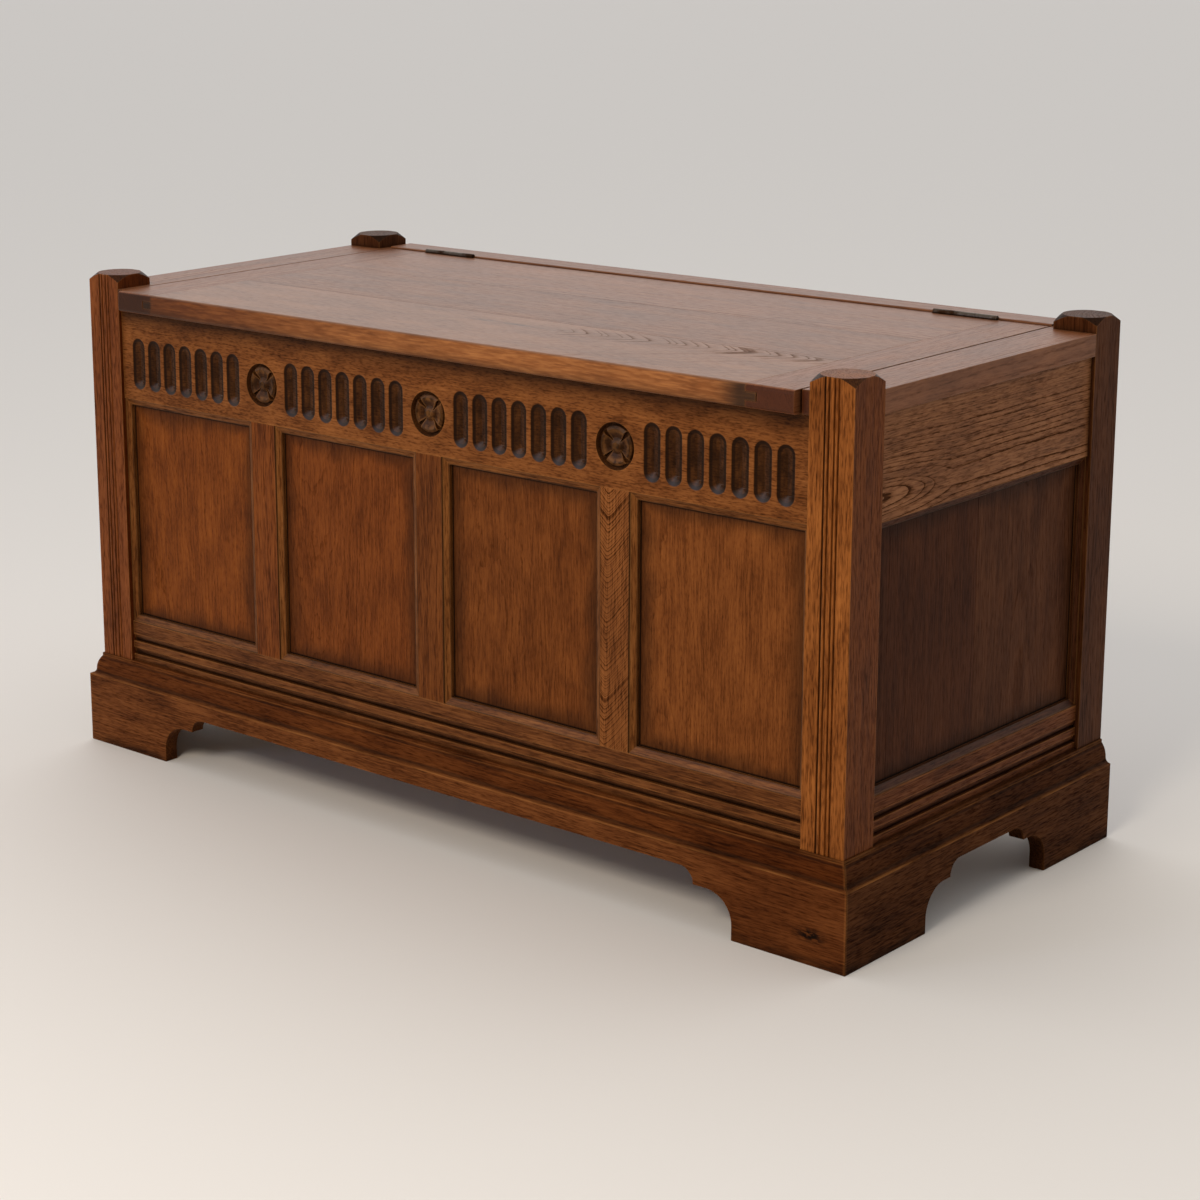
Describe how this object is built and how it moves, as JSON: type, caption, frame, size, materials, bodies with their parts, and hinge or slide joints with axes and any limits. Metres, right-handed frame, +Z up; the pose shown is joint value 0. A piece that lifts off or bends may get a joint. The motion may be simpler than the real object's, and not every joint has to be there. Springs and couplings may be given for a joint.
{
  "type": "coffer chest",
  "caption": "Joined oak coffer chest with a hinged cleated lid, a carved top rail, framed panels and a moulded plinth on bracket feet",
  "frame": {"origin": "on the floor, at the middle of the box that the chest fills", "axes": "+X runs along the front towards the right end, +Y from front to back, +Z up"},
  "size_m": [1.06, 0.482, 0.552],
  "materials": {
    "stained_oak_frame": "brown stained oak, waxed",
    "stained_oak_panel": "brown stained oak, waxed, darker towards the edges",
    "waxed_oak_top": "brown stained oak under a satin wax",
    "bare_softwood": "planed softwood, bare",
    "aged_steel": "aged steel, dark"
  },
  "bodies": {
    "root": {"back_bottom_rail": "stained_oak_frame", "back_muntin": "stained_oak_frame", "back_panel_1": "stained_oak_panel", "back_panel_2": "stained_oak_panel", "back_top_board": "waxed_oak_top", "back_top_rail": "stained_oak_frame", "bottom_bearer_back": "bare_softwood", "bottom_bearer_front": "bare_softwood", "bottom_board_1": "bare_softwood", "bottom_board_2": "bare_softwood", "bottom_board_3": "bare_softwood", "bottom_board_4": "bare_softwood", "front_bottom_rail": "stained_oak_frame", "front_moulding_1": "stained_oak_frame", "front_moulding_2": "stained_oak_frame", "front_moulding_3": "stained_oak_frame", "front_moulding_4": "stained_oak_frame", "front_muntin_1": "stained_oak_frame", "front_muntin_2": "stained_oak_frame", "front_muntin_3": "stained_oak_frame", "front_panel_1": "stained_oak_panel", "front_panel_2": "stained_oak_panel", "front_panel_3": "stained_oak_panel", "front_panel_4": "stained_oak_panel", "front_top_rail": "stained_oak_frame", "hinge_fixed_leaf_left": "aged_steel", "hinge_fixed_leaf_right": "aged_steel", "hinge_pin_left": "aged_steel", "hinge_pin_right": "aged_steel", "left_bottom_rail": "stained_oak_frame", "left_moulding": "stained_oak_frame", "left_panel": "stained_oak_panel", "left_top_board": "waxed_oak_top", "left_top_rail": "stained_oak_frame", "plinth_front": "stained_oak_frame", "plinth_left": "stained_oak_frame", "plinth_right": "stained_oak_frame", "post_back_left": "stained_oak_frame", "post_back_right": "stained_oak_frame", "post_front_left": "stained_oak_frame", "post_front_right": "stained_oak_frame", "right_bottom_rail": "stained_oak_frame", "right_moulding": "stained_oak_frame", "right_panel": "stained_oak_panel", "right_top_board": "waxed_oak_top", "right_top_rail": "stained_oak_frame"},
    "lid": {"hinge_lid_leaf_left": "aged_steel", "hinge_lid_leaf_right": "aged_steel", "lid_board_1": "waxed_oak_top", "lid_board_2": "waxed_oak_top", "lid_board_3": "waxed_oak_top", "lid_cleat_left": "waxed_oak_top", "lid_cleat_right": "waxed_oak_top"}
  },
  "joints": [
    {"name": "lid_hinge", "type": "hinge", "parent": "root", "child": "lid", "pos_m": [0, 0.204, 0.539], "axis": [-1, 0, 0], "range_deg": [0, 105]}
  ]
}
